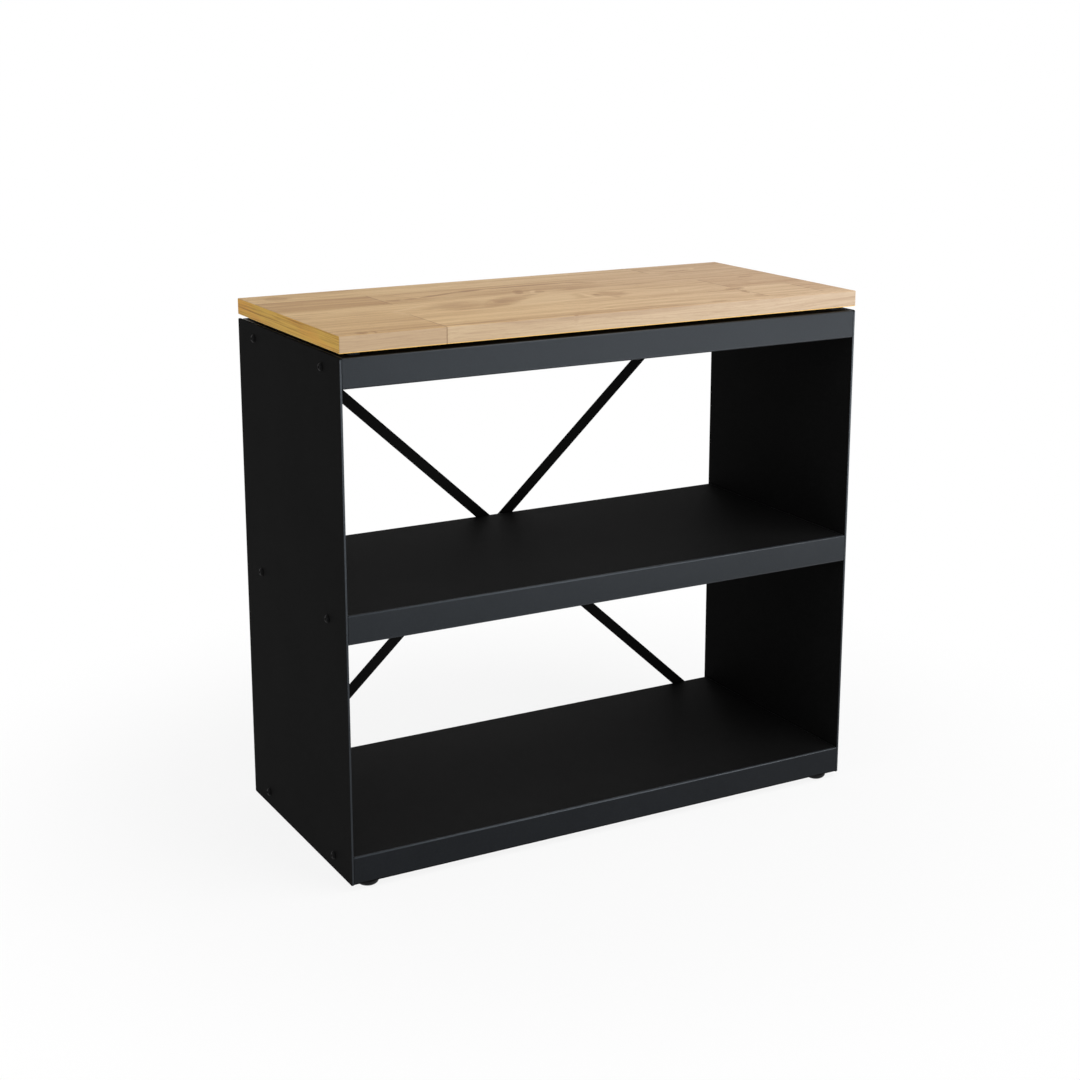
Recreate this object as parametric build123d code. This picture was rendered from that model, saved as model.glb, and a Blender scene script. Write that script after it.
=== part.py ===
from build123d import *
import os
from math import atan2, cos, hypot, sin, sqrt

# Firewood log rack, in millimetres. X runs across the front, the front faces -Y and the feet stand on Z = 0.

# Carcass
WIDTH = 1000.0
DEPTH = 450.0
PANEL_HEIGHT = 886.0
PANEL_T = 4.0
PANEL_CORNER_R = 3.0
PANEL_EDGE_R = 0.6
FLOOR_GAP = 10.0

# Folded pans: the bottom shelf, the middle shelf and the top tray
SHEET_T = 2.0
BEND_R = 1.0
FLANGE_H = 50.0
LIP_W = 15.0
FOOT_LIP_W = 40.0
PAN_LIFT = 1.0
FLANGE_END_GAP = 0.5
CORNER_RELIEF = 2.0
LIP_CLEARANCE = 2.0

# Side screws and the weld nuts that take them
SIDE_SCREW_D = 8.0
SIDE_SCREW_HEAD_D = 14.0
SIDE_SCREW_HEAD_H = 4.4
SIDE_SCREW_SOCKET = 5.0
SIDE_SCREW_TIP = 3.5
SIDE_SCREW_INSET = 75.0
SIDE_NUT_AF = 14.0
SIDE_NUT_H = 6.5

# Diagonal bars across the back and their countersunk screws
BRACE_W = 20.0
BRACE_T = 3.0
BRACE_END_INSET = 46.0
BRACE_SPACER_D = 16.0
BRACE_SCREW_D = 5.0
BRACE_SCREW_HEAD_D = 10.0
BRACE_SCREW_SOCKET = 3.0
BRACE_SCREW_TIP = 3.0
BRACE_NUT_AF = 9.0
BRACE_NUT_H = 4.0

# Wooden top, its spacers and the screws that come up through the tray
WOOD_T = 28.0
WOOD_EDGE_R = 1.5
TOP_GAP = 7.0
TOP_SPACER_D = 20.0
TOP_FIX_SIDE_INSET = 35.0
TOP_FIX_EDGE_INSET = 26.0
TOP_SCREW_D = 5.0
TOP_SCREW_HEAD_D = 9.5
TOP_SCREW_HEAD_H = 2.6
TOP_SCREW_SOCKET = 3.0
TOP_SCREW_GRIP = 18.0

# Levelling feet, drawn fully screwed in
FOOT_SIDE_INSET = 37.0
FOOT_TRAVEL = 15.0
PAD_D = 38.0
PAD_SOLE_D = 18.0
PAD_RIM_H = 2.0
PAD_TOP_GAP = 1.0
PAD_FLOOR_T = 3.0
STUD_D = 8.0
STUD_HEAD_D = 13.0
STUD_HEAD_H = 4.0
STUD_TIP = 1.5
FOOT_NUT_AF = 14.0
FOOT_NUT_H = 6.5

# Clearances, all on the diameter
HOLE_CLEARANCE = 0.5
THREAD_CLEARANCE = 0.1
SEAT_CLEARANCE = 0.2

# Shapes that all the screws share: shares are of the head's height, or of the socket for the flat on top
SCREW_CHAMFER = 0.6
HEAD_RIM_SHARE = 0.2
HEAD_DOME_SHARE = 0.12
HEAD_FLAT_SHARE = 1.4
SOCKET_DEPTH_SHARE = 0.65

# Heights and planes that several pieces share
BEND_OUTER_R = BEND_R + SHEET_T
DECK_BOTTOM = FLOOR_GAP + PAN_LIFT + FLANGE_H
DECK_MIDDLE = FLOOR_GAP + PANEL_HEIGHT / 2 + FLANGE_H / 2
DECK_TOP = FLOOR_GAP + PANEL_HEIGHT
DECKS = (DECK_BOTTOM, DECK_MIDDLE, DECK_TOP)
FRONT_Y = -DEPTH / 2
REAR_Y = DEPTH / 2
REAR_FLANGE_Y = REAR_Y - 2 * BRACE_T
PAN_W = WIDTH - 2 * PANEL_T
PAN_DEPTH = REAR_FLANGE_Y - FRONT_Y
PAN_MID_Y = (FRONT_Y + REAR_FLANGE_Y) / 2
SIDES = (-1, 1)

# Screw, spacer and foot positions
SIDE_SCREW_YS = (FRONT_Y + SIDE_SCREW_INSET, REAR_Y - SIDE_SCREW_INSET)
BRACE_END_X = WIDTH / 2 - BRACE_END_INSET
BRACE_LOW_Z = DECK_BOTTOM - FLANGE_H / 2
BRACE_HIGH_Z = DECK_TOP - FLANGE_H / 2
BRACE_MID_Z = (BRACE_LOW_Z + BRACE_HIGH_Z) / 2
TOP_FIX_X = WIDTH / 2 - TOP_FIX_SIDE_INSET
TOP_FIX_Y = DEPTH / 2 - TOP_FIX_EDGE_INSET
TOP_FIX_POINTS = [(x, y) for y in (-TOP_FIX_Y, TOP_FIX_Y) for x in (-TOP_FIX_X, TOP_FIX_X)]
FOOT_X = WIDTH / 2 - FOOT_SIDE_INSET
FOOT_LIP_MID = (FOOT_LIP_W + SHEET_T) / 2
FOOT_YS = {"front": FRONT_Y + FOOT_LIP_MID, "rear": REAR_FLANGE_Y - FOOT_LIP_MID}
FOOT_POINTS = {
    f"{end}_{hand}": (side * FOOT_X, y)
    for end, y in FOOT_YS.items()
    for hand, side in (("left", -1), ("right", 1))
}


def box_between(low, high):
    size = [b - a for a, b in zip(low, high)]
    centre = [(a + b) / 2 for a, b in zip(low, high)]
    return Pos(*centre) * Box(*size)


def turned(*edges):
    """Solid of revolution about Z from an outline drawn in radius and height."""
    return revolve(Plane.XZ * make_face(edges), Axis.Z)


def turned_polygon(*points):
    return turned(*Polyline(*points, close=True).edges())


def hexagon(across_flats, height):
    return extrude(RegularPolygon(across_flats / 2, 6, major_radius=False), height)


def drilled(piece, points, turn, diameter, length):
    """Cuts a round hole centred on each point, along Z after the given turn."""
    for point in points:
        piece -= Pos(*point) * turn * Cylinder(diameter / 2, length)
    return piece


def button_screw(diameter, head_d, head_h, socket, length):
    """Domed head above Z = 0 and a plain shank of the thread's outer diameter below it."""
    radius = diameter / 2
    rim_h = head_h * HEAD_RIM_SHARE
    dome = head_h * HEAD_DOME_SHARE
    flat_r = socket * HEAD_FLAT_SHARE / 2
    dome_mid = ((head_d / 2 + flat_r) / 2 + dome, (head_h + rim_h) / 2 + dome)
    screw = turned(
        Line((0, -length), (radius - SCREW_CHAMFER, -length)),
        Line((radius - SCREW_CHAMFER, -length), (radius, SCREW_CHAMFER - length)),
        Line((radius, SCREW_CHAMFER - length), (radius, 0)),
        Line((radius, 0), (head_d / 2, 0)),
        Line((head_d / 2, 0), (head_d / 2, rim_h)),
        ThreePointArc((head_d / 2, rim_h), dome_mid, (flat_r, head_h)),
        Line((flat_r, head_h), (0, head_h)),
        Line((0, head_h), (0, -length)),
    )
    socket_depth = head_h * SOCKET_DEPTH_SHARE
    return screw - Pos(0, 0, head_h - socket_depth) * hexagon(socket, head_h)


def countersunk_screw(diameter, head_d, socket, length):
    """Flat head flush with Z = 0, with a cone of 90 degrees under it and the shank below."""
    cone_h = (head_d - diameter) / 2
    screw = turned_polygon(
        (0, -length),
        (diameter / 2 - SCREW_CHAMFER, -length),
        (diameter / 2, SCREW_CHAMFER - length),
        (diameter / 2, -cone_h),
        (head_d / 2, 0),
        (0, 0),
    )
    socket_depth = cone_h * SOCKET_DEPTH_SHARE
    return screw - Pos(0, 0, -socket_depth) * hexagon(socket, cone_h)


def weld_nut(across_flats, height, thread_d):
    """Hexagon standing on Z = 0, bored for the thread, with its upper corners turned off."""
    flat_r = across_flats / 2
    corner_r = across_flats / sqrt(3)
    turned_blank = turned_polygon(
        (0, 0),
        (corner_r, 0),
        (corner_r, height - (corner_r - flat_r) / 2),
        (flat_r, height),
        (0, height),
    )
    bore = Cylinder((thread_d + THREAD_CLEARANCE) / 2, 3 * height)
    return (hexagon(across_flats, height) & turned_blank) - bore


def ring(outer_d, inner_d, height):
    """Plain spacer standing on Z = 0."""
    return extrude(Circle(outer_d / 2) - Circle(inner_d / 2), height)


def side_panel(side):
    """Flat plate with rounded corners, softly broken edges and a screw hole at each pan."""
    middle_x = side * (WIDTH - PANEL_T) / 2
    plate = Pos(middle_x, 0, FLOOR_GAP + PANEL_HEIGHT / 2) * Box(PANEL_T, DEPTH, PANEL_HEIGHT)
    plate = fillet(plate.edges().filter_by(Axis.X), PANEL_CORNER_R)
    faces = plate.faces().sort_by(Axis.X)
    plate = fillet(faces[0].edges() + faces[-1].edges(), PANEL_EDGE_R)
    holes = [(middle_x, y, deck - FLANGE_H / 2) for y in SIDE_SCREW_YS for deck in DECKS]
    return drilled(plate, holes, Rot(0, 90, 0), SIDE_SCREW_D + HOLE_CLEARANCE, 2 * PANEL_T)


def pan(deck, lip_w):
    """Deck folded down on four sides, with lips folded in under the front and rear flanges."""
    outer = RectangleRounded(PAN_DEPTH, FLANGE_H, BEND_OUTER_R)
    inner = RectangleRounded(PAN_DEPTH - 2 * SHEET_T, FLANGE_H - 2 * SHEET_T, BEND_R)
    mouth = Pos(0, -FLANGE_H / 2) * Rectangle(PAN_DEPTH - 2 * lip_w, 2 * BEND_OUTER_R)
    channel = Plane.YZ * Pos(PAN_MID_Y, deck - FLANGE_H / 2) * (outer - inner - mouth)
    flange_len = PAN_W - 2 * FLANGE_END_GAP
    front_and_rear = extrude(channel, flange_len / 2, both=True)
    rounded_ends = Pos(0, deck - FLANGE_H) * RectangleRounded(flange_len, 2 * FLANGE_H, BEND_OUTER_R)
    front_and_rear &= extrude(Plane.XZ * rounded_ends, DEPTH, both=True)

    relief_len = PAN_DEPTH - 2 * BEND_OUTER_R - CORNER_RELIEF
    for side in SIDES:
        notch = Box(2 * BEND_OUTER_R, relief_len, 2 * BEND_OUTER_R)
        front_and_rear -= Pos(side * PAN_W / 2, PAN_MID_Y, deck) * notch

    side_h = FLANGE_H - SHEET_T - LIP_CLEARANCE
    side_outer = RectangleRounded(PAN_W, 2 * side_h, BEND_OUTER_R)
    side_inner = RectangleRounded(PAN_W - 2 * SHEET_T, 2 * (side_h - SHEET_T), BEND_R)
    lower_half = Pos(0, -side_h) * Rectangle(2 * PAN_W, 2 * side_h)
    hoop = Plane.XZ.offset(-PAN_MID_Y) * Pos(0, deck - side_h) * (side_outer - side_inner - lower_half)
    side_flanges = extrude(hoop, relief_len / 2 - CORNER_RELIEF, both=True)

    folded = front_and_rear + side_flanges
    holes = [(0, y, deck - FLANGE_H / 2) for y in SIDE_SCREW_YS]
    return drilled(folded, holes, Rot(0, 90, 0), SIDE_SCREW_D + HOLE_CLEARANCE, 2 * WIDTH)


def rear_flange_holes(piece, points):
    centres = [(x, REAR_FLANGE_Y, z) for x, z in points]
    return drilled(piece, centres, Rot(90, 0, 0), BRACE_SCREW_D + HOLE_CLEARANCE, 4 * SHEET_T)


def bottom_shelf():
    shelf = pan(DECK_BOTTOM, FOOT_LIP_W)
    shelf = rear_flange_holes(shelf, [(side * BRACE_END_X, BRACE_LOW_Z) for side in SIDES])
    stud_holes = [(x, y, DECK_BOTTOM - FLANGE_H) for x, y in FOOT_POINTS.values()]
    return drilled(shelf, stud_holes, Rot(0, 0, 0), STUD_D + HOLE_CLEARANCE, 4 * SHEET_T)


def middle_shelf():
    return rear_flange_holes(pan(DECK_MIDDLE, LIP_W), [(0, BRACE_MID_Z)])


def top_tray():
    tray = pan(DECK_TOP, LIP_W)
    tray = rear_flange_holes(tray, [(side * BRACE_END_X, BRACE_HIGH_Z) for side in SIDES])
    screw_holes = [(x, y, DECK_TOP) for x, y in TOP_FIX_POINTS]
    return drilled(tray, screw_holes, Rot(0, 0, 0), TOP_SCREW_D + HOLE_CLEARANCE, 4 * SHEET_T)


def side_screws(side):
    length = PANEL_T + SHEET_T + SIDE_NUT_H + SIDE_SCREW_TIP
    screw = button_screw(SIDE_SCREW_D, SIDE_SCREW_HEAD_D, SIDE_SCREW_HEAD_H, SIDE_SCREW_SOCKET, length)
    outward = Rot(0, side * 90, 0)
    return [
        Pos(side * WIDTH / 2, y, deck - FLANGE_H / 2) * outward * screw
        for deck in DECKS
        for y in SIDE_SCREW_YS
    ]


def side_nuts(deck):
    nut = weld_nut(SIDE_NUT_AF, SIDE_NUT_H, SIDE_SCREW_D)
    flange_x = PAN_W / 2 - SHEET_T
    return [
        Pos(side * flange_x, y, deck - FLANGE_H / 2) * Rot(0, -side * 90, 0) * nut
        for side in SIDES
        for y in SIDE_SCREW_YS
    ]


def brace_hole(sunk):
    """Cutter for one brace screw, with its countersink open at Z = 0 where the head sits in that bar."""
    hole_r = (BRACE_SCREW_D + HOLE_CLEARANCE) / 2
    hole = Cylinder(hole_r, 4 * BRACE_T)
    if not sunk:
        return hole
    seat_r = (BRACE_SCREW_HEAD_D + SEAT_CLEARANCE) / 2
    return hole + turned_polygon((0, 0), (seat_r, 0), (hole_r, hole_r - seat_r), (0, hole_r - seat_r))


def brace(rise, front_y, sunk_in_middle):
    """Flat bar with round ends from one lower corner to the opposite upper corner of the back."""
    run = 2 * BRACE_END_X
    climb = BRACE_HIGH_Z - BRACE_LOW_Z
    length = hypot(run, climb)
    slope = rise * atan2(climb, run)
    centre = (0, front_y + BRACE_T, BRACE_MID_Z)
    back = Plane(centre, x_dir=(-cos(slope), 0, -sin(slope)), z_dir=(0, 1, 0))
    bar = extrude(SlotCenterToCenter(length, BRACE_W), -BRACE_T)
    for along, sunk in ((-length / 2, True), (0, sunk_in_middle), (length / 2, True)):
        bar -= Pos(along, 0, 0) * brace_hole(sunk)
    return back * bar


def brace_screws():
    """Short screws hold the inner bar's ends, and long ones the outer bar's ends and the crossing."""
    inner_len = BRACE_T + SHEET_T + BRACE_NUT_H + BRACE_SCREW_TIP
    outer_len = inner_len + BRACE_T
    backward = Rot(-90, 0, 0)
    inner = countersunk_screw(BRACE_SCREW_D, BRACE_SCREW_HEAD_D, BRACE_SCREW_SOCKET, inner_len)
    outer = countersunk_screw(BRACE_SCREW_D, BRACE_SCREW_HEAD_D, BRACE_SCREW_SOCKET, outer_len)
    inner_ends = ((-BRACE_END_X, BRACE_HIGH_Z), (BRACE_END_X, BRACE_LOW_Z))
    outer_ends = ((-BRACE_END_X, BRACE_LOW_Z), (0, BRACE_MID_Z), (BRACE_END_X, BRACE_HIGH_Z))
    screws = [Pos(x, REAR_FLANGE_Y + BRACE_T, z) * backward * inner for x, z in inner_ends]
    return screws + [Pos(x, REAR_Y, z) * backward * outer for x, z in outer_ends]


def brace_nuts():
    nut = weld_nut(BRACE_NUT_AF, BRACE_NUT_H, BRACE_SCREW_D)
    corners = [(side * BRACE_END_X, z) for side in SIDES for z in (BRACE_LOW_Z, BRACE_HIGH_Z)]
    return [
        Pos(x, REAR_FLANGE_Y - SHEET_T, z) * Rot(90, 0, 0) * nut
        for x, z in corners + [(0, BRACE_MID_Z)]
    ]


def brace_spacers():
    """Rings as thick as the inner bar, under both ends of the outer bar."""
    spacer = ring(BRACE_SPACER_D, BRACE_SCREW_D + HOLE_CLEARANCE, BRACE_T)
    ends = ((-BRACE_END_X, BRACE_LOW_Z), (BRACE_END_X, BRACE_HIGH_Z))
    return [Pos(x, REAR_FLANGE_Y, z) * Rot(-90, 0, 0) * spacer for x, z in ends]


def wood_top():
    """Board as large as the carcass, with eased edges and blind pilot holes in its underside."""
    underside = DECK_TOP + TOP_GAP
    low = (-WIDTH / 2, FRONT_Y, underside)
    board = box_between(low, (WIDTH / 2, REAR_Y, underside + WOOD_T))
    board = fillet(board.edges(), WOOD_EDGE_R)
    pilots = [(x, y, underside) for x, y in TOP_FIX_POINTS]
    pilot_depth = TOP_SCREW_GRIP + TOP_SCREW_D / 2
    return drilled(board, pilots, Rot(0, 0, 0), TOP_SCREW_D + THREAD_CLEARANCE, 2 * pilot_depth)


def top_spacers():
    spacer = ring(TOP_SPACER_D, TOP_SCREW_D + HOLE_CLEARANCE, TOP_GAP)
    return [Pos(x, y, DECK_TOP) * spacer for x, y in TOP_FIX_POINTS]


def top_screws():
    length = SHEET_T + TOP_GAP + TOP_SCREW_GRIP
    screw = button_screw(TOP_SCREW_D, TOP_SCREW_HEAD_D, TOP_SCREW_HEAD_H, TOP_SCREW_SOCKET, length)
    return [Pos(x, y, DECK_TOP - SHEET_T) * Rot(180, 0, 0) * screw for x, y in TOP_FIX_POINTS]


def foot_nuts():
    nut = weld_nut(FOOT_NUT_AF, FOOT_NUT_H, STUD_D)
    lip_top = DECK_BOTTOM - FLANGE_H + SHEET_T
    return [Pos(x, y, lip_top) * nut for x, y in FOOT_POINTS.values()]


def foot_pad():
    """Bowl-shaped pad with a flat sole and the pocket in which the stud's head is held."""
    top = DECK_BOTTOM - FLANGE_H - PAD_TOP_GAP
    sole_r = PAD_SOLE_D / 2
    side_h = top - PAD_RIM_H
    bowl = turned(
        Line((0, 0), (sole_r, 0)),
        EllipticalCenterArc((sole_r, side_h), PAD_D / 2 - sole_r, side_h, start_angle=270, arc_size=90),
        Line((PAD_D / 2, side_h), (PAD_D / 2, top)),
        Line((PAD_D / 2, top), (0, top)),
        Line((0, top), (0, 0)),
    )
    pocket_r = (STUD_HEAD_D + THREAD_CLEARANCE) / 2
    pocket_h = STUD_HEAD_H + THREAD_CLEARANCE
    pocket = Pos(0, 0, PAD_FLOOR_T + pocket_h / 2) * Cylinder(pocket_r, pocket_h)
    neck_r = (STUD_D + THREAD_CLEARANCE) / 2
    neck = Pos(0, 0, top) * Cylinder(neck_r, 2 * (top - PAD_FLOOR_T - STUD_HEAD_H))
    return bowl - pocket - neck


def foot_stud():
    """Threaded stud, long enough to stay through its nut when the foot is fully out."""
    nut_top = DECK_BOTTOM - FLANGE_H + SHEET_T + FOOT_NUT_H
    tip = nut_top + FOOT_TRAVEL + STUD_TIP
    foot = PAD_FLOOR_T + THREAD_CLEARANCE / 2
    shoulder = foot + STUD_HEAD_H
    return turned_polygon(
        (0, foot),
        (STUD_HEAD_D / 2, foot),
        (STUD_HEAD_D / 2, shoulder),
        (STUD_D / 2, shoulder),
        (STUD_D / 2, tip - SCREW_CHAMFER),
        (STUD_D / 2 - SCREW_CHAMFER, tip),
        (0, tip),
    )


nodes = {
    "left_side_panel": side_panel(-1),
    "right_side_panel": side_panel(1),
    "bottom_shelf": bottom_shelf(),
    "middle_shelf": middle_shelf(),
    "top_tray": top_tray(),
    "left_panel_screws": side_screws(-1),
    "right_panel_screws": side_screws(1),
    "bottom_shelf_nuts": side_nuts(DECK_BOTTOM),
    "middle_shelf_nuts": side_nuts(DECK_MIDDLE),
    "top_tray_nuts": side_nuts(DECK_TOP),
    "falling_brace": brace(-1, REAR_FLANGE_Y, sunk_in_middle=False),
    "rising_brace": brace(1, REAR_FLANGE_Y + BRACE_T, sunk_in_middle=True),
    "brace_spacers": brace_spacers(),
    "brace_screws": brace_screws(),
    "brace_nuts": brace_nuts(),
    "wood_top": wood_top(),
    "top_spacers": top_spacers(),
    "top_screws": top_screws(),
    "foot_nuts": foot_nuts(),
}
for corner, (foot_x, foot_y) in FOOT_POINTS.items():
    nodes[f"{corner}_foot_pad"] = Pos(foot_x, foot_y, 0) * foot_pad()
    nodes[f"{corner}_foot_stud"] = Pos(foot_x, foot_y, 0) * foot_stud()

os.makedirs("parts", exist_ok=True)
for name, piece in nodes.items():
    solids = [piece] if not isinstance(piece, list) else piece
    export_step(Compound(label=name, children=solids), f"parts/{name}.step")
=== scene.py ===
import bmesh
import bpy
import random
from math import pi, radians, sqrt
from mathutils import Matrix, Vector


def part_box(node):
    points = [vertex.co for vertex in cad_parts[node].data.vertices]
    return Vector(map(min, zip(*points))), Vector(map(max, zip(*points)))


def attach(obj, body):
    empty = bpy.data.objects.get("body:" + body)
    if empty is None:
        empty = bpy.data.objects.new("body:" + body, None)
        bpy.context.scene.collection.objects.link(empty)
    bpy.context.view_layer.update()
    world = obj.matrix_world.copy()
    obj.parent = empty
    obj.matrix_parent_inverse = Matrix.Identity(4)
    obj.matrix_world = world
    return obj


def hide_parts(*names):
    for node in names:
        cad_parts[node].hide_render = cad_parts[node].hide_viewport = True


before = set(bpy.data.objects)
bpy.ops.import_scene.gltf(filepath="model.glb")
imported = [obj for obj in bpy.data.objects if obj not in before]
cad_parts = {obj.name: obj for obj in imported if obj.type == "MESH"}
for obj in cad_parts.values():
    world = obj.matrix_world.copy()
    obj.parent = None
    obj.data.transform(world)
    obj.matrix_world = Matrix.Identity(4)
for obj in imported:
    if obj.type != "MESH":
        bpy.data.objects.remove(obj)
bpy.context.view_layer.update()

# Side panels: two flat plates of 4 mm steel, laser cut with rounded corners and deburred edges.
# They are powder coated black. The baked coat has a faint orange peel. It comes as two copies of one
# coat that paint light: matt on the wide faces, and satin with a painted bluish sheen on the upright
# edges.
PLATE_CORNER = 0.003
PLATE_EDGE = 0.0006
MATT_BLACK = (16, 16, 16)
MATT_TINT = (1.0, 1.0, 1.0, 1.0)
SATIN_BLACK = (17, 18, 20)
# Painted reflection: the satin copies' sheen is tinted blue, though the surround is white.
BLUE_SHEEN_TINT = (0.78, 0.89, 1.0, 1.0)
# A face or an edge lies square on to an axis when more than this share of its direction is along it.
SQUARE_ON = 0.9
WIDE_FACE, UPRIGHT_EDGE = range(2)


def srgb(red, green, blue):
    """Linear colour for a shader socket from 0 to 255 screen values."""
    channels = [c / 255 for c in (red, green, blue)]
    return [c / 12.92 if c < 0.04045 else ((c + 0.055) / 1.055) ** 2.4 for c in channels] + [1.0]


def new_material(name):
    material = bpy.data.materials.new(name)
    material.use_nodes = True
    material.node_tree.nodes.clear()
    return material, material.node_tree


def shader_node(tree, kind, inputs, **settings):
    """Adds a node; an input is a plain value or the socket that feeds it."""
    made = tree.nodes.new("ShaderNode" + kind)
    for name, value in settings.items():
        setattr(made, name, value)
    for socket, value in inputs.items():
        if isinstance(value, bpy.types.NodeSocket):
            tree.links.new(value, made.inputs[socket])
        else:
            made.inputs[socket].default_value = value
    return made


def maths(tree, operation, *values):
    return shader_node(tree, "Math", dict(enumerate(values)), operation=operation).outputs[0]


def noise(tree, vector, scale, detail=2.0, roughness=0.5):
    inputs = {"Vector": vector, "Scale": scale, "Detail": detail, "Roughness": roughness}
    return shader_node(tree, "TexNoise", inputs).outputs["Fac"]


def ramp(tree, value, low, high, to_low=0.0, to_high=1.0):
    """Smooth step of a value from one range to another."""
    inputs = {"Value": value, "From Min": low, "From Max": high, "To Min": to_low, "To Max": to_high}
    return shader_node(tree, "MapRange", inputs, interpolation_type="SMOOTHSTEP").outputs[0]


def mixed(tree, factor, first, second, mode="MIX"):
    """Mixes two colours; 0, 6 and 7 are the mixer's factor and colour sockets."""
    inputs = {0: factor, 6: first, 7: second}
    return shader_node(tree, "Mix", inputs, data_type="RGBA", blend_type=mode).outputs[2]


def object_place(tree):
    return shader_node(tree, "TexCoord", {}).outputs["Object"]


def surface(tree, inputs, height, depth, strength):
    """Principled shader with a bump of the given depth in metres, wired to the output."""
    bump = shader_node(tree, "Bump", {"Height": height, "Distance": depth, "Strength": strength})
    shader = shader_node(tree, "BsdfPrincipled", {**inputs, "Normal": bump.outputs[0]})
    shader_node(tree, "OutputMaterial", {"Surface": shader.outputs[0]})


def powder_coat(name, colour, roughness, specular, tint, speckle):
    """Baked powder: slow clouds of tone, an orange peel and a fine leathery speckle."""
    material, tree = new_material(name)
    place = object_place(tree)
    cloud = noise(tree, place, scale=9.0, detail=3.0)
    peel = noise(tree, place, scale=420.0)
    grain = noise(tree, place, scale=1100.0)
    lighter = [4.0 * c for c in srgb(*colour)[:3]] + [1.0]
    clouds = ramp(tree, cloud, 0.3, 0.7, 0.0, 0.06)
    tone = maths(tree, "ADD", clouds, ramp(tree, grain, 0.5, 0.72, 0.0, speckle))
    rough = maths(tree, "MULTIPLY_ADD", grain, 0.2, roughness - 0.1)
    height = maths(tree, "ADD", grain, peel)
    inputs = {
        "Base Color": mixed(tree, tone, srgb(*colour), lighter),
        "Roughness": rough,
        "Specular IOR Level": specular,
        "Specular Tint": tint,
    }
    surface(tree, inputs, height, depth=0.0003, strength=0.4)
    return material


def block(low, high):
    """Box from corner to corner in a new bmesh."""
    low, high = Vector(low), Vector(high)
    shape = bmesh.new()
    place = Matrix.Translation((low + high) / 2) @ Matrix.Diagonal((*(high - low), 1.0))
    bmesh.ops.create_cube(shape, size=1.0, matrix=place)
    return shape


def rounded(shape, edges, radius, segments):
    """Rounds edges, and shades the new faces smooth."""
    made = bmesh.ops.bevel(shape, geom=edges, offset=radius, offset_type="OFFSET", affect="EDGES",
                           segments=segments, profile=0.5, material=-1)
    for face in made["faces"]:
        face.smooth = True


def piece(name, shape, body, slot, replaced, *materials):
    """Turns a bmesh into an object that rides on a body in place of a CAD node."""
    mesh = bpy.data.meshes.new(name)
    shape.to_mesh(mesh)
    shape.free()
    for material in materials:
        mesh.materials.append(material)
    made = bpy.data.objects.new(name, mesh)
    bpy.context.scene.collection.objects.link(made)
    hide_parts(replaced)
    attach(made, body)
    return made


matt_coat = powder_coat("matt_black_coat", MATT_BLACK, roughness=0.65, specular=0.0085,
                        tint=MATT_TINT, speckle=0.5)
# The same coat with a painted sheen, for the panels' upright edges.
edge_sheen_coat = powder_coat("edge_sheen_black_coat", SATIN_BLACK, roughness=0.38, specular=0.26,
                        tint=BLUE_SHEEN_TINT, speckle=0.3)
for hand in ("left", "right"):
    plate = block(*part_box(hand + "_side_panel"))
    corners = [e for e in plate.edges
               if abs((e.verts[0].co - e.verts[1].co).normalized().x) > SQUARE_ON]
    rounded(plate, corners, PLATE_CORNER, segments=5)
    rims = [e for e in plate.edges if sum(abs(f.normal.x) > SQUARE_ON for f in e.link_faces) == 1]
    rounded(plate, rims, PLATE_EDGE, segments=3)
    for face in plate.faces:
        face.material_index = UPRIGHT_EDGE if abs(face.normal.y) > SQUARE_ON else WIDE_FACE
    piece(hand + "_plate", plate, "rack", "powder_coat", hand + "_side_panel", matt_coat, edge_sheen_coat)

# Bottom shelf, middle shelf and top tray: pans folded from 2 mm steel sheet between the panels.
# The front and rear flanges turn in again at the bottom, and the fronts are the rack's three rails.
# Copies of one coat paint light: matt on decks and insides, a painted sheen on flanges, painted
# highlights on bends.
SHEET = 0.002
BEND = 0.003
RAIL_GAP = 0.0005
SIDE_FLANGE = 0.046
CORNER_STRIP = 0.004
SHEET_EDGE = 0.0003
SHARP_EDGE = radians(60)
# Points nearer to each other than this are one.
SAME_PLACE = 1e-6
BEND_HIGHLIGHT, SATIN, MATT = range(3)
# The bottom shelf's flanges get the least sheen, and its lower bends the matt copy: its rail is painted
# darker.
PANS = (
    # name, width of the lips, painted sheen of the flanges (least on the bottom shelf), coat on the
    # lower bends
    ("bottom_shelf", 0.040, 0.082, MATT),
    ("middle_shelf", 0.015, 0.136, BEND_HIGHLIGHT),
    ("top_tray", 0.015, 0.130, BEND_HIGHLIGHT),
)


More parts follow.
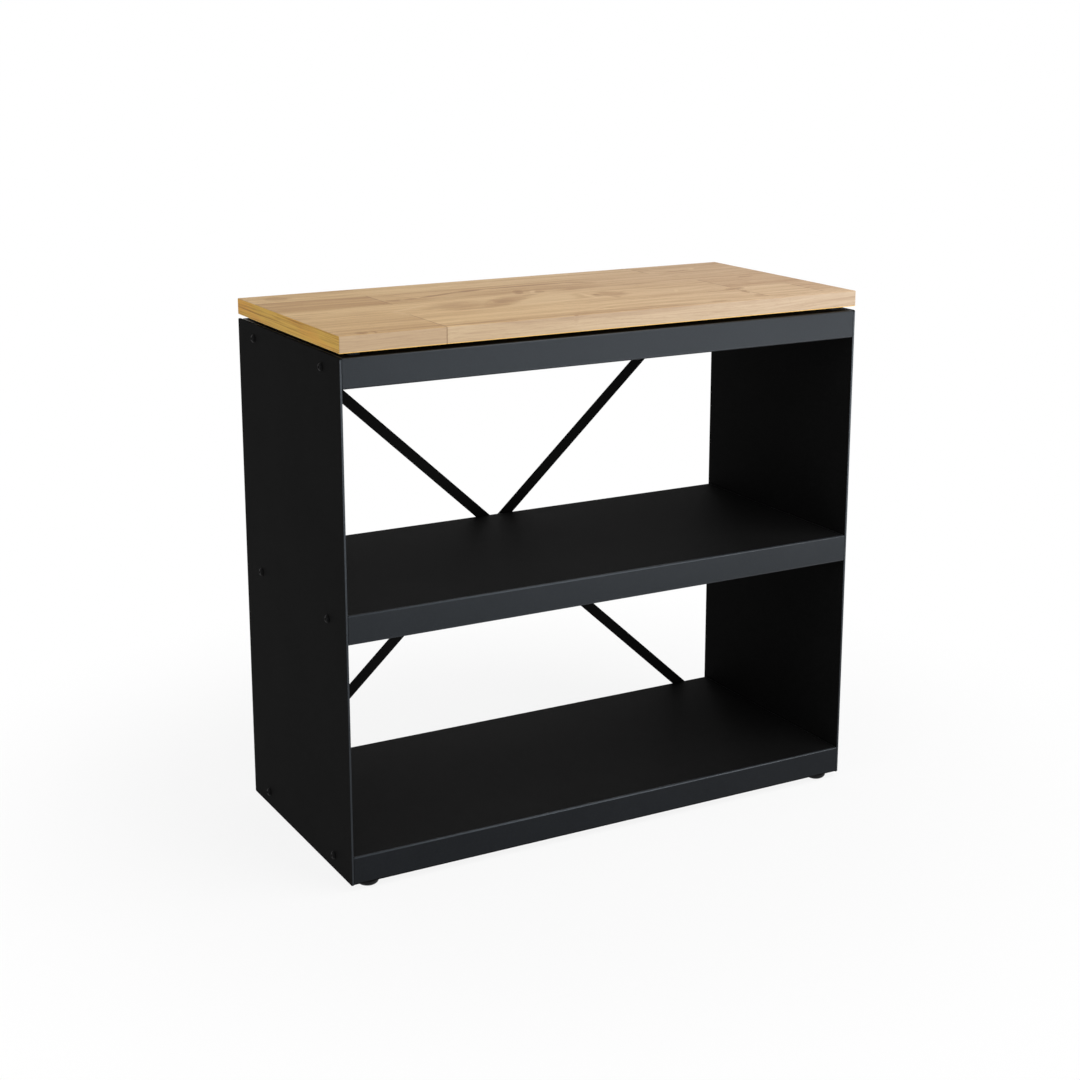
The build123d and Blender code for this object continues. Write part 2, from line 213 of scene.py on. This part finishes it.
def folded_pan(low, high, lip, lower_bend):
    """Outer skin of a pan: a deck whose edges are folded down, then in under the front and the rear."""
    pan = bmesh.new()
    outline = [(low.x, low.y), (high.x, low.y), (high.x, high.y), (low.x, high.y)]
    pan.faces.new([pan.verts.new((x, y, high.z)) for x, y in outline])
    for notch in (low.y + CORNER_STRIP, high.y - CORNER_STRIP):
        whole = pan.verts[:] + pan.edges[:] + pan.faces[:]
        bmesh.ops.bisect_plane(pan, geom=whole, plane_co=(0, notch, 0), plane_no=(0, 1, 0))

    def edges_at(axis, value):
        return [e for e in pan.edges if all(abs(v.co[axis] - value) < SAME_PLACE for v in e.verts)]

    def folded(edges, move):
        made = bmesh.ops.extrude_edge_only(pan, edges=edges)["geom"]
        verts = [g for g in made if isinstance(g, bmesh.types.BMVert)]
        bmesh.ops.translate(pan, verts=verts, vec=move)
        return [g for g in made if isinstance(g, bmesh.types.BMEdge) and set(g.verts) <= set(verts)]

    front = edges_at(1, low.y)
    rear = edges_at(1, high.y)
    sides = [e for x in (low.x, high.x) for e in edges_at(0, x) if e.calc_length() > 2 * CORNER_STRIP]
    front_foot = folded(front, (0, 0, low.z - high.z))
    rear_foot = folded(rear, (0, 0, low.z - high.z))
    folded(front_foot, (0, lip, 0))
    folded(rear_foot, (0, -lip, 0))
    folded(sides, (0, 0, -SIDE_FLANGE))
    rounded(pan, front + rear + sides + front_foot + rear_foot, BEND, segments=6)
    bmesh.ops.remove_doubles(pan, verts=pan.verts[:], dist=SAME_PLACE)
    bmesh.ops.recalc_face_normals(pan, faces=pan.faces[:])

    straight = high.z - BEND
    for vert in pan.verts:
        on_rail = min(vert.co.y - low.y, high.y - vert.co.y) < BEND + SAME_PLACE
        below_sides = vert.co.z < straight - SIDE_FLANGE + BEND
        if (on_rail or below_sides) and abs(vert.co.x) > high.x - SAME_PLACE:
            climb = max(vert.co.z - straight, 0.0)
            reach = high.x - RAIL_GAP - BEND + sqrt(max(BEND ** 2 - climb ** 2, 0.0))
            vert.co.x = reach if vert.co.x > 0 else -reach
    half_way = (low.z + high.z) / 2
    # Bends take the highlight copy (the lower ones the given copy), faces square to front or back the
    # sheen copy.
    for face in pan.faces:
        bend = BEND_HIGHLIGHT if face.calc_center_median().z > half_way else lower_bend
        flat = SATIN if abs(face.normal.y) > SQUARE_ON else MATT
        face.material_index = bend if face.smooth else flat
    return pan


# Copy of the coat with the strongest sheen: a painted highlight along the bends.
bend_highlight_coat = powder_coat("bend_highlight_black_coat", SATIN_BLACK, roughness=0.36, specular=0.36,
                          tint=BLUE_SHEEN_TINT, speckle=0.3)
for pan_name, pan_lip, sheen, pan_lower_bend in PANS:
    flange_coat = powder_coat(pan_name + "_coat", SATIN_BLACK, roughness=0.38, specular=sheen,
                              tint=BLUE_SHEEN_TINT, speckle=0.3)
    skin = folded_pan(*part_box(pan_name), pan_lip, pan_lower_bend)
    coats = (bend_highlight_coat, flange_coat, matt_coat)
    pan = piece(pan_name + "_pan", skin, "rack", "powder_coat", pan_name, *coats)
    wall = pan.modifiers.new("sheet", "SOLIDIFY")
    wall.thickness = SHEET
    wall.offset = -1.0
    wall.use_even_offset = True
    wall.material_offset = MATT
    eased = pan.modifiers.new("deburred", "BEVEL")
    eased.width = SHEET_EDGE
    eased.segments = 2
    eased.limit_method = "ANGLE"
    eased.angle_limit = SHARP_EDGE

# Weld nuts: hexagon nuts welded inside the pans, for the panels, the bars and the feet.
# Diagonal bars: flat steel strips with round ends, screwed over the open back to stop it leaning.
# Both have the same matt black coat as the insides of the pans.


def coat(material, *names):
    for name in names:
        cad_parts[name].material_slots[0].material = material


coat(matt_coat, "bottom_shelf_nuts", "middle_shelf_nuts", "top_tray_nuts", "brace_nuts", "foot_nuts")
coat(matt_coat, "falling_brace", "rising_brace")

# Screws and spacers: button heads through the side panels, countersunk ones through the diagonal
# bars, and spacers behind the ends of the outer bar. All are blackened steel with a thin oily sheen.


def blackened_steel():
    material, tree = new_material("blackened_steel")
    place = object_place(tree)
    bloom = noise(tree, place, scale=240.0, detail=3.0)
    colour = mixed(tree, bloom, srgb(10, 10, 10), srgb(22, 22, 23))
    rough = maths(tree, "MULTIPLY_ADD", bloom, 0.2, 0.3)
    inputs = {"Base Color": colour, "Roughness": rough, "Specular IOR Level": 0.04}
    surface(tree, inputs, bloom, depth=0.0001, strength=0.1)
    return material


coat(blackened_steel(), "left_panel_screws", "right_panel_screws", "brace_screws", "brace_spacers")

# Wooden top: one board glued up from pale oak staves in rows, planed flat, with eased edges.
# Each stave has its own growth rings and tone, and a few have knots and smoky patches.
# The whole board is oiled, which turns the end grain golden.
STAVES = (
    # log; front, back, left and right, in metres from the board's front left corner; tone
    (1, 0.000, 0.024, 0.000, 0.186, 0.18),
    (2, 0.000, 0.024, 0.186, 1.000, 0.85),
    (1, 0.024, 0.140, 0.000, 0.186, 0.55),
    (2, 0.024, 0.140, 0.186, 0.827, 0.85),
    (3, 0.024, 0.140, 0.827, 0.946, 0.95),
    (4, 0.024, 0.140, 0.946, 1.000, 0.50),
    (5, 0.140, 0.252, 0.000, 0.827, 0.85),
    (6, 0.140, 0.252, 0.827, 1.000, 0.45),
    (7, 0.252, 0.366, 0.000, 0.206, 0.00),
    (8, 0.252, 0.366, 0.206, 1.000, 0.55),
    (9, 0.366, 0.450, 0.000, 0.792, 0.95),
    (10, 0.366, 0.450, 0.792, 1.000, 0.68),
)
DARK_MARKS = (
    # log; along, from the front, half length and half width in metres; degrees of turn; crispness; shade
    (5, 0.388, 0.192, 0.114, 0.042, 34, 0.05, 0.80),
    (5, 0.304, 0.186, 0.084, 0.058, 0, 0.15, 0.56),
    (5, 0.315, 0.144, 0.064, 0.009, 0, 0.30, 0.60),
    (5, 0.462, 0.236, 0.028, 0.010, 10, 0.20, 0.60),
    (5, 0.566, 0.180, 0.009, 0.012, 20, 0.20, 1.00),
    (5, 0.596, 0.178, 0.040, 0.044, 0, 0.00, 0.60),
    (5, 0.529, 0.192, 0.019, 0.030, 0, 0.10, 0.50),
    (5, 0.587, 0.147, 0.016, 0.008, 0, 0.20, 0.65),
    (8, 0.230, 0.292, 0.024, 0.011, 0, 0.20, 0.70),
    (8, 0.264, 0.294, 0.022, 0.010, 5, 0.20, 0.75),
    (8, 0.322, 0.312, 0.068, 0.009, 21, 0.30, 0.80),
    (8, 0.392, 0.333, 0.044, 0.011, 11, 0.30, 0.85),
    (8, 0.507, 0.339, 0.115, 0.008, -1, 0.40, 0.72),
    (8, 0.615, 0.328, 0.042, 0.009, -25, 0.30, 0.65),
    (8, 0.490, 0.290, 0.190, 0.046, 0, 0.20, 0.28),
    (8, 0.463, 0.277, 0.036, 0.014, 63, 0.20, 0.80),
    (8, 0.497, 0.261, 0.012, 0.010, 0, 0.20, 0.85),
    (8, 0.580, 0.272, 0.095, 0.026, 0, 0.10, 0.48),
    (8, 0.700, 0.262, 0.075, 0.009, 0, 0.20, 0.50),
    (2, 0.816, 0.125, 0.014, 0.012, 0, 0.20, 0.90),
    (3, 0.834, 0.126, 0.014, 0.012, 0, 0.20, 0.80),
    (2, 0.819, 0.090, 0.007, 0.026, -12, 0.30, 0.75),
    (2, 0.820, 0.038, 0.018, 0.022, 0, 0.05, 0.50),
    (2, 0.550, 0.050, 0.080, 0.032, 0, 0.10, 0.25),
    (2, 0.460, 0.012, 0.310, 0.019, 0, 0.70, 0.48),
    (2, 0.440, 0.012, 0.060, 0.014, 0, 0.20, 0.72),
    (2, 0.617, 0.013, 0.038, 0.014, 0, 0.20, 0.66),
    (2, 0.715, 0.015, 0.040, 0.011, 3, 0.20, 0.66),
    (2, 0.420, -0.001, 0.010, 0.006, 0, 0.20, 0.85),
    (1, 0.042, 0.013, 0.013, 0.014, 0, 0.30, 0.85),
    (1, 0.063, 0.013, 0.004, 0.015, 0, 0.40, 0.80),
    (9, 0.058, 0.408, 0.040, 0.034, 0, 0.05, 0.60),
    (9, 0.165, 0.437, 0.085, 0.008, 0, 0.20, 0.45),
    (10, 0.860, 0.370, 0.044, 0.006, 0, 0.30, 0.70),
    (6, 0.930, 0.246, 0.028, 0.007, 8, 0.20, 0.55),
)
PALE_MARKS = (
    # the same, for the pale arcs and flecks that cut into the dark ones
    (5, 0.452, 0.157, 0.108, 0.040, 34, 0.70, 0.75),
    (5, 0.549, 0.183, 0.005, 0.040, 0, 0.30, 1.00),
    (5, 0.212, 0.197, 0.056, 0.006, 32, 0.30, 0.80),
    (5, 0.182, 0.155, 0.022, 0.005, -63, 0.30, 0.70),
    (5, 0.660, 0.200, 0.090, 0.006, -21, 0.30, 0.80),
    (5, 0.719, 0.157, 0.024, 0.005, 62, 0.30, 0.70),
    (8, 0.489, 0.271, 0.006, 0.018, -30, 0.30, 0.90),
    (8, 0.330, 0.284, 0.064, 0.012, 12, 0.10, 0.60),
    (2, 0.827, 0.106, 0.005, 0.012, -30, 0.30, 0.80),
    (10, 0.900, 0.385, 0.016, 0.007, 50, 0.30, 0.90),
)
MARK_DEPTH = 0.015
MARK_REACH = 1.15
KNOT_SWELLING = 0.008
WOOD_EDGE = 0.0015
RING_WIDTH = 0.0052
PITH_ASIDE = 0.02
PITH_BELOW = (0.04, 0.10)
TRUNK_LENGTH = 9
GLUE_LINE = 0.0004
GLUE_STAIN = 0.0014
# The outer staves reach past the board: they take in its rounded edges, and have no glue there.
OUTSIDE = 1.0

wood_low, wood_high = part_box("wood_top")
board = block(wood_low, wood_high)
rounded(board, board.edges[:], WOOD_EDGE, segments=4)
row_fronts = sorted({stave[1] for stave in STAVES} - {0.0})
stave_starts = sorted({stave[3] for stave in STAVES} - {0.0})
seams = [((0, 1, 0), (0, wood_low.y + front, 0)) for front in row_fronts]
seams += [((1, 0, 0), (wood_low.x + left, 0, 0)) for left in stave_starts]
for across, through in seams:
    whole = board.verts[:] + board.edges[:] + board.faces[:]
    bmesh.ops.bisect_plane(board, geom=whole, plane_co=through, plane_no=across)

log_layer = board.faces.layers.float.new("stave_log")
grain_layer = board.faces.layers.float_vector.new("stave_grain")
ends_layer = board.faces.layers.float_vector.new("stave_ends")
last_back, last_right = STAVES[-1][2], STAVES[-1][4]
for log, front, back, left, right, tone in STAVES:
    front_y = wood_low.y + front - OUTSIDE * (front == 0.0)
    back_y = wood_low.y + back + OUTSIDE * (back == last_back)
    left_x = wood_low.x + left - OUTSIDE * (left == 0.0)
    right_x = wood_low.x + right + OUTSIDE * (right == last_right)
    growth = random.Random(log)
    pith_y = growth.uniform(-PITH_ASIDE, PITH_ASIDE) - wood_low.y - (front + back) / 2
    pith_z = growth.uniform(*PITH_BELOW) - wood_low.z
    grain = (growth.uniform(0, TRUNK_LENGTH), pith_y, pith_z)
    for face in board.faces:
        at = face.calc_center_median()
        if front_y < at.y < back_y and left_x < at.x < right_x:
            face[log_layer] = log
            face[grain_layer] = grain
            face[ends_layer] = (left_x, right_x, tone)


def vector_maths(tree, operation, *values):
    return shader_node(tree, "VectorMath", dict(enumerate(values)), operation=operation).outputs[0]


def length(tree, vector):
    return shader_node(tree, "VectorMath", {0: vector}, operation="LENGTH").outputs["Value"]


def oiled_oak():
    material, tree = new_material("oiled_oak")
    place = object_place(tree)
    x = shader_node(tree, "SeparateXYZ", {0: place}).outputs["X"]
    facing = shader_node(tree, "TexCoord", {}).outputs["Normal"]
    facing_x, facing_y, facing_z = shader_node(tree, "SeparateXYZ", {0: facing}).outputs
    log = shader_node(tree, "Attribute", {}, attribute_name="stave_log").outputs["Fac"]
    grain = shader_node(tree, "Attribute", {}, attribute_name="stave_grain").outputs["Vector"]
    ends = shader_node(tree, "Attribute", {}, attribute_name="stave_ends").outputs["Vector"]
    start, end, tone = shader_node(tree, "SeparateXYZ", {0: ends}).outputs
    local = vector_maths(tree, "ADD", place, grain)

    def stretched(vector, scale):
        return vector_maths(tree, "MULTIPLY", vector, scale)

    def drawn_out(vector, scale, detail=2.0, roughness=0.5):
        """Noise whose scale is given along the grain, across it and through the board."""
        return noise(tree, stretched(vector, scale), 1.0, detail, roughness)

    def wandering(vector, scale, amount):
        """Shifts a vector by up to half of an amount, slowly."""
        inputs = {"Vector": stretched(vector, scale), "Scale": 1.0, "Detail": 2.0}
        drift = shader_node(tree, "TexNoise", inputs).outputs["Color"]
        centred = vector_maths(tree, "SUBTRACT", drift, (0.5, 0.5, 0.5))
        return vector_maths(tree, "MULTIPLY_ADD", centred, amount, vector)

    def marked(marks, vector):
        """Strongest of some marks at a point."""
        strongest = 0.0
        for mark_log, along, from_front, half_length, half_width, turn, crispness, strength in marks:
            inputs = {
                "Vector": vector,
                "Location": (wood_low.x + along, wood_low.y + from_front, wood_high.z),
                "Rotation": (0.0, 0.0, radians(turn)),
                "Scale": (half_length, half_width, MARK_DEPTH),
            }
            away = length(tree, shader_node(tree, "Mapping", inputs, vector_type="TEXTURE").outputs[0])
            same_log = maths(tree, "COMPARE", log, mark_log, 0.5)
            near = ramp(tree, away, crispness, MARK_REACH, strength, 0.0)
            strongest = maths(tree, "MAXIMUM", maths(tree, "MULTIPLY", near, same_log), strongest)
        return strongest

    stirred = wandering(place, (8.0, 25.0, 25.0), (0.020, 0.009, 0.0))
    pale = marked(PALE_MARKS, stirred)
    shade = maths(tree, "MULTIPLY", marked(DARK_MARKS, stirred), maths(tree, "SUBTRACT", 1.0, pale))
    swelling = maths(tree, "MULTIPLY", shade, KNOT_SWELLING)

    bulge = shader_node(tree, "CombineXYZ", {1: swelling, 2: swelling}).outputs[0]
    heart = wandering(local, (1.6, 6.0, 6.0), (0.0, 0.06, 0.06))
    heart = vector_maths(tree, "ADD", heart, bulge)
    radius = length(tree, stretched(heart, (0.0, 1.0, 1.0)))
    waver = drawn_out(heart, (3.0, 40.0, 40.0))
    phase = maths(tree, "MULTIPLY_ADD", waver, 3.0, maths(tree, "MULTIPLY", radius, 2 * pi / RING_WIDTH))
    rings = maths(tree, "SINE", phase)
    fibre = drawn_out(heart, (12.0, 420.0, 420.0), detail=3.0, roughness=0.6)
    streak = drawn_out(heart, (1.3, 62.0, 62.0), detail=5.0, roughness=0.62)
    band = drawn_out(heart, (1.6, 22.0, 22.0))
    vein = drawn_out(heart, (2.2, 150.0, 150.0))
    pores = drawn_out(local, (90.0, 2000.0, 2000.0), detail=1.0)
    wisp = drawn_out(heart, (9.0, 60.0, 60.0), detail=4.0, roughness=0.6)
    smoke = maths(tree, "MULTIPLY", shade, ramp(tree, wisp, 0.25, 0.65, 0.7, 1.1))

    # Yellow towards the left end, pink towards the right. The yellow is also made paler: a painted lift
    # of the left side, which the lamps light less.
    yellow_with_painted_lift = mixed(tree, tone, srgb(196, 160, 112), srgb(222, 190, 141))
    pink = mixed(tree, tone, srgb(191, 159, 126), srgb(212, 184, 149))
    colour = mixed(tree, ramp(tree, x, wood_low.x, wood_high.x), yellow_with_painted_lift, pink)

    def browned(factor, tint):
        return mixed(tree, factor, colour, (*tint, 1.0), "MULTIPLY")

    colour = browned(ramp(tree, streak, 0.34, 0.60, 0.60, 0.0), (0.74, 0.66, 0.58))
    colour = browned(ramp(tree, band, 0.35, 0.6, 0.35, 0.0), (0.78, 0.70, 0.62))
    colour = browned(ramp(tree, rings, 0.2, 1.0, 0.0, 0.22), (0.68, 0.58, 0.48))
    colour = browned(ramp(tree, vein, 0.60, 0.74, 0.0, 0.75), (0.66, 0.56, 0.46))
    colour = browned(ramp(tree, fibre, 0.32, 0.56, 0.5, 0.0), (0.70, 0.60, 0.50))
    colour = browned(ramp(tree, pores, 0.64, 0.72, 0.0, 0.5), (0.50, 0.40, 0.32))
    colour = mixed(tree, maths(tree, "MULTIPLY", pale, 0.30), colour, srgb(232, 206, 164))
    colour = browned(ramp(tree, smoke, 0.05, 0.6, 0.0, 0.75), (0.70, 0.62, 0.55))
    colour = browned(ramp(tree, smoke, 0.6, 1.0, 0.0, 0.65), (0.56, 0.48, 0.42))

    # The front and back faces are mixed towards their own paler pink, then darkened: painted shade
    # against the strong front light on them.
    long_side_tone_and_shade = ramp(tree, maths(tree, "ABSOLUTE", facing_y), 0.5, 0.9)
    colour = mixed(tree, maths(tree, "MULTIPLY", long_side_tone_and_shade, 0.4), colour, srgb(196, 172, 148))
    colour = browned(long_side_tone_and_shade, (0.81, 0.85, 0.91))
    lines = drawn_out(place, (1.0, 5.0, 420.0), detail=5.0, roughness=0.7)
    patch = drawn_out(place, (1.0, 9.0, 40.0))
    golden = mixed(tree, ramp(tree, patch, 0.35, 0.65), srgb(230, 173, 80), srgb(228, 184, 86))
    golden = mixed(tree, ramp(tree, lines, 0.42, 0.66, 0.0, 0.75), golden, srgb(158, 98, 42))
    colour = mixed(tree, ramp(tree, maths(tree, "ABSOLUTE", facing_x), 0.5, 0.9), colour, golden)
    # Painted highlight: faces that look down, the lower eased edges and the underside, are a bright
    # orange gold.
    colour = mixed(tree, ramp(tree, facing_z, -0.05, -0.4), colour, srgb(255, 206, 116))

    to_start = maths(tree, "ABSOLUTE", maths(tree, "SUBTRACT", x, start))
    to_end = maths(tree, "ABSOLUTE", maths(tree, "SUBTRACT", x, end))
    glue = ramp(tree, maths(tree, "MINIMUM", to_start, to_end), GLUE_LINE, GLUE_STAIN, 0.7, 0.0)
    colour = browned(glue, (0.40, 0.32, 0.26))

    rough = maths(tree, "MULTIPLY_ADD", fibre, 0.2, 0.42)
    ridges = drawn_out(local, (12.0, 420.0, 420.0), detail=3.0, roughness=0.6)
    height = maths(tree, "SUBTRACT", ridges, ramp(tree, pores, 0.6, 0.7))
    inputs = {"Base Color": colour, "Roughness": rough, "Specular IOR Level": 0.1}
    surface(tree, inputs, height, depth=0.0002, strength=0.2)
    return material


piece("glued_oak_top", board, "rack", "oiled_wood", "wood_top", oiled_oak())

# Spacers and screws of the board: four moulded nylon washers keep it clear of the tray.
# Zinc plated wood screws come up through the tray and the washers into the board.


def moulded_nylon(name, low, high):
    material, tree = new_material(name)
    place = object_place(tree)
    texture = noise(tree, place, scale=900.0)
    colour = mixed(tree, texture, srgb(*low), srgb(*high))
    rough = maths(tree, "MULTIPLY_ADD", texture, 0.15, 0.35)
    inputs = {"Base Color": colour, "Roughness": rough, "Specular IOR Level": 0.1}
    surface(tree, inputs, texture, depth=0.0001, strength=0.15)
    return material


def zinc_plate():
    material, tree = new_material("zinc_plate")
    place = object_place(tree)
    bloom = noise(tree, place, scale=300.0, detail=3.0)
    colour = mixed(tree, bloom, srgb(168, 170, 174), srgb(206, 204, 198))
    rough = maths(tree, "MULTIPLY_ADD", bloom, 0.2, 0.25)
    inputs = {"Base Color": colour, "Roughness": rough, "Metallic": 1.0}
    surface(tree, inputs, bloom, depth=0.0001, strength=0.1)
    return material


zinc = zinc_plate()
coat(moulded_nylon("spacer_nylon", low=(40, 46, 54), high=(58, 66, 76)), "top_spacers")
coat(zinc, "top_screws")

# Levelling feet: a moulded nylon pad pressed over the head of a zinc plated M8 stud.
# The stud is screwed up into a nut on the bottom shelf's lip, and turning the pad levels the rack.
STUD_CREST = 0.0040
STUD_ROOT = 0.0034
STUD_PITCH = 0.00125
STUD_CHAMFER = 0.0008
STUD_HEAD_RADIUS = 0.0065
STUD_HEAD_HEIGHT = 0.004
STUD_HEAD_EDGE = 0.0004
TURN_STEPS = 24
SPARE_TURNS = 3
RIDGE = (
    # radius, share of the pitch
    (STUD_ROOT, 0.0),
    (STUD_ROOT, 0.1),
    (STUD_CREST, 0.48),
    (STUD_CREST, 0.62),
    (STUD_ROOT, 1.0),
)


def closed_cut(shape, height, upward):
    """Cuts off everything beyond a level, and closes the cut."""
    whole = shape.verts[:] + shape.edges[:] + shape.faces[:]
    bmesh.ops.bisect_plane(shape, geom=whole, plane_co=(0, 0, height), plane_no=(0, 0, upward),
                           clear_outer=True)
    rim = [e for e in shape.edges if e.is_boundary and abs(e.verts[0].co.z - height) < SAME_PLACE]
    bmesh.ops.holes_fill(shape, edges=rim)


def threaded_stud(low, high):
    """Round head under a single thread, which is one ridge spun up a helix."""
    shoulder = low.z + STUD_HEAD_HEIGHT
    turns = round((high.z - shoulder) / STUD_PITCH) + SPARE_TURNS
    stud = bmesh.new()
    foot = shoulder - SPARE_TURNS / 2 * STUD_PITCH
    verts = [stud.verts.new((radius, 0.0, foot + share * STUD_PITCH)) for radius, share in RIDGE]
    edges = [stud.edges.new(pair) for pair in zip(verts, verts[1:])]
    bmesh.ops.spin(stud, geom=verts + edges, cent=(0, 0, 0), axis=(0, 0, 1),
                   dvec=(0, 0, STUD_PITCH / TURN_STEPS), angle=2 * pi * turns,
                   steps=TURN_STEPS * turns, use_merge=False)
    bmesh.ops.remove_doubles(stud, verts=stud.verts[:], dist=SAME_PLACE)
    closed_cut(stud, shoulder - STUD_PITCH / 4, -1)
    closed_cut(stud, high.z, 1)
    for vert in stud.verts:
        most = STUD_CREST - max(vert.co.z - high.z + STUD_CHAMFER, 0.0)
        across = vert.co.xy.length
        if across > most:
            vert.co.xy *= most / across
    head_place = Matrix.Translation((0, 0, low.z + STUD_HEAD_HEIGHT / 2))
    head = bmesh.ops.create_cone(stud, cap_ends=True, segments=2 * TURN_STEPS, radius1=STUD_HEAD_RADIUS,
                                 radius2=STUD_HEAD_RADIUS, depth=STUD_HEAD_HEIGHT, matrix=head_place)
    head_verts = set(head["verts"])
    level = [e for e in stud.edges if e.verts[0].co.z == e.verts[1].co.z]
    rounded(stud, [e for e in level if head_verts.issuperset(e.verts)], STUD_HEAD_EDGE, segments=2)
    bmesh.ops.recalc_face_normals(stud, faces=stud.faces[:])
    middle = ((low.x + high.x) / 2, (low.y + high.y) / 2, 0.0)
    bmesh.ops.translate(stud, verts=stud.verts[:], vec=middle)
    return stud


pad_nylon = moulded_nylon("pad_nylon", low=(10, 10, 11), high=(20, 20, 21))
for corner in ("front_left", "front_right", "rear_left", "rear_right"):
    stud_node = corner + "_foot_stud"
    stud = threaded_stud(*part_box(stud_node))
    piece(corner + "_threaded_stud", stud, corner + "_stud", "zinc_steel", stud_node, zinc)
    coat(pad_nylon, corner + "_foot_pad")

# Studio: a white surround, and a matt floor that is nearly clear to the camera. So the surround shows
# through it, the rack keeps a faint shadow, and feet screwed out below the floor's level still show.
# Four soft boxes light the rack, and the camera stands in front of it, to the left.
FLOOR_WHITE = (0.86, 0.86, 0.86, 1)
FLOOR_REACH = 4.0
FLOOR_SOLID = 0.9
SHADOW_NEAR = 0.55
SHADOW_FAR = 1.3
SHADOW_CLEAR = 0.88
SURROUND_WHITE = (1, 1, 1, 1)
SURROUND_LIGHT = 0.35
CAMERA_PLACE = (-1.6120, -2.8843, 1.4230)
CAMERA_DOWN = radians(13.301)
CAMERA_ROUND = radians(28.871)
CAMERA_LENS = 62.82
CAMERA_SHIFT = -0.08


def seen_directly(tree):
    """1 for camera, glossy and transmission rays."""
    path = shader_node(tree, "LightPath", {}).outputs
    seen = maths(tree, "MAXIMUM", path["Is Camera Ray"], path["Is Glossy Ray"])
    return maths(tree, "MAXIMUM", seen, path["Is Transmission Ray"])


floor_shape = bmesh.new()
bmesh.ops.create_circle(floor_shape, cap_ends=True, segments=64, radius=FLOOR_REACH)
floor_mesh = bpy.data.meshes.new("studio_floor")
floor_shape.to_mesh(floor_mesh)
floor_shape.free()
floor = bpy.data.objects.new("studio_floor", floor_mesh)
bpy.context.scene.collection.objects.link(floor)
floor_white, tree = new_material("floor_white")
distance = length(tree, object_place(tree))
matt = shader_node(tree, "BsdfDiffuse", {"Color": FLOOR_WHITE})
clear = shader_node(tree, "BsdfTransparent", {})
under = shader_node(tree, "NewGeometry", {}).outputs["Backfacing"]
fade = maths(tree, "MAXIMUM", ramp(tree, distance, FLOOR_SOLID, FLOOR_REACH), under)
shown_through = ramp(tree, distance, SHADOW_NEAR, SHADOW_FAR, SHADOW_CLEAR, 1.0)
share = maths(tree, "MAXIMUM", maths(tree, "MULTIPLY", seen_directly(tree), shown_through), fade)
faded = shader_node(tree, "MixShader", {0: share, 1: matt.outputs[0], 2: clear.outputs[0]})
shader_node(tree, "OutputMaterial", {"Surface": faded.outputs[0]})
floor_mesh.materials.append(floor_white)

world = bpy.data.worlds.new("white_surround")
bpy.context.scene.world = world
world.use_nodes = True
tree = world.node_tree
tree.nodes.clear()
ambient = shader_node(tree, "Background", {"Color": SURROUND_WHITE, "Strength": SURROUND_LIGHT})
white = shader_node(tree, "Background", {"Color": SURROUND_WHITE, "Strength": 1.0})
inputs = {0: seen_directly(tree), 1: ambient.outputs[0], 2: white.outputs[0]}
both = shader_node(tree, "MixShader", inputs)
shader_node(tree, "OutputWorld", {"Surface": both.outputs[0]})


def soft_box(name, place, target, width, height, power):
    lamp = bpy.data.lights.new(name, "AREA")
    lamp.shape = "RECTANGLE"
    lamp.size = width
    lamp.size_y = height
    lamp.energy = power
    holder = bpy.data.objects.new(name, lamp)
    holder.location = place
    holder.rotation_euler = (Vector(target) - Vector(place)).to_track_quat("-Z", "Y").to_euler()
    holder.visible_camera = False
    bpy.context.scene.collection.objects.link(holder)


soft_box("rail_light", (1.65, -2.8, 0.30), (0.0, 0.0, 0.55), width=3.2, height=0.6, power=82.0)
soft_box("top_light", (0.6, -1.0, 2.55), (0.0, 0.0, 0.9), width=1.7, height=1.3, power=31.5)
soft_box("side_light", (-3.2, -0.8, 1.3), (-0.5, 0.0, 0.5), width=1.6, height=1.6, power=18.0)
soft_box("back_light", (0.9, 3.0, 0.40), (0.0, 0.0, 0.42), width=2.0, height=0.8, power=24.0)

camera_lens = bpy.data.cameras.new("camera")
camera_lens.lens = CAMERA_LENS
camera_lens.shift_y = CAMERA_SHIFT
camera = bpy.data.objects.new("camera", camera_lens)
camera.location = CAMERA_PLACE
camera.rotation_euler = (pi / 2 - CAMERA_DOWN, 0.0, -CAMERA_ROUND)
bpy.context.scene.collection.objects.link(camera)
bpy.context.scene.camera = camera
bpy.context.scene.view_settings.view_transform = "Standard"
